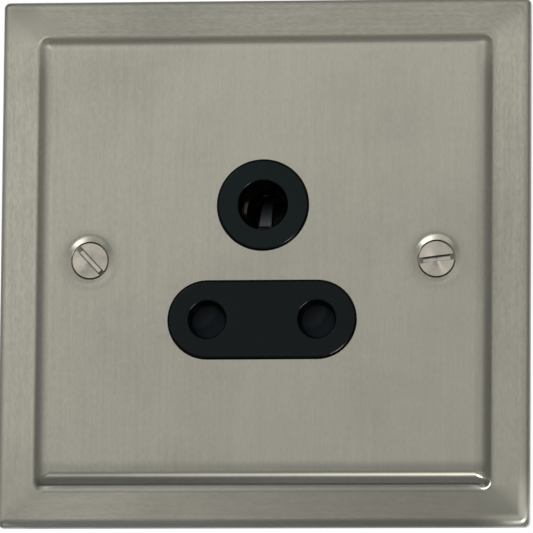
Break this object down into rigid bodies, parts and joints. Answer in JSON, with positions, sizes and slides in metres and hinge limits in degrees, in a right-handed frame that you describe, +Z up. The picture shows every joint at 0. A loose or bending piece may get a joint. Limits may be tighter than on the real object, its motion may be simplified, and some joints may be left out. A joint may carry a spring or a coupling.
{
  "type": "round pin wall socket",
  "caption": "Wall socket outlet with a stepped square metal plate, a black insert with round pin holes, an earth hole at the top, a sliding safety shutter and rear screw terminals.",
  "frame": {"origin": "on the wall plane, midway between the two fixing screws, which is also the centre of the plate", "axes": "+Z up, earth hole at the top; +X to the right as the user faces it; the front faces -Y and +Y goes into the wall"},
  "size_m": [0.0924, 0.0254, 0.0924],
  "materials": {
    "satin_nickel": "brushed satin nickel plate",
    "nickel_screw": "bright nickel plate",
    "zinc_steel": "zinc plated steel",
    "spring_steel": "drawn spring wire",
    "black_moulding": "satin moulded black",
    "slate_moulding": "dark slate moulding",
    "brass": "machined brass",
    "brass_screw": "turned brass",
    "bronze_strip": "pressed phosphor bronze"
  },
  "bodies": {
    "socket": {"face_plate": "satin_nickel", "fixing_screw_left": "nickel_screw", "fixing_screw_right": "nickel_screw", "plate_pillars": "zinc_steel", "module_screws": "zinc_steel", "socket_housing": "black_moulding", "shutter_spring": "spring_steel", "contact_carrier": "black_moulding", "contact_rivets": "brass", "earth_strap": "brass", "rear_cover": "black_moulding", "cover_screws": "zinc_steel", "earth_contact": "bronze_strip", "earth_terminal": "brass", "earth_terminal_screw": "brass_screw", "line_contact": "bronze_strip", "line_terminal": "brass", "line_terminal_screw": "brass_screw", "neutral_contact": "bronze_strip", "neutral_terminal": "brass", "neutral_terminal_screw": "brass_screw"},
    "slider": {"shutter": "slate_moulding"}
  },
  "joints": [
    {"name": "shutter_slide", "type": "slide", "parent": "socket", "child": "slider", "axis": [0, 0, -1], "range_m": [0, 0.006], "stiffness_N_per_m": 150, "springref_m": -0.006, "deforming": ["shutter_spring"]}
  ]
}
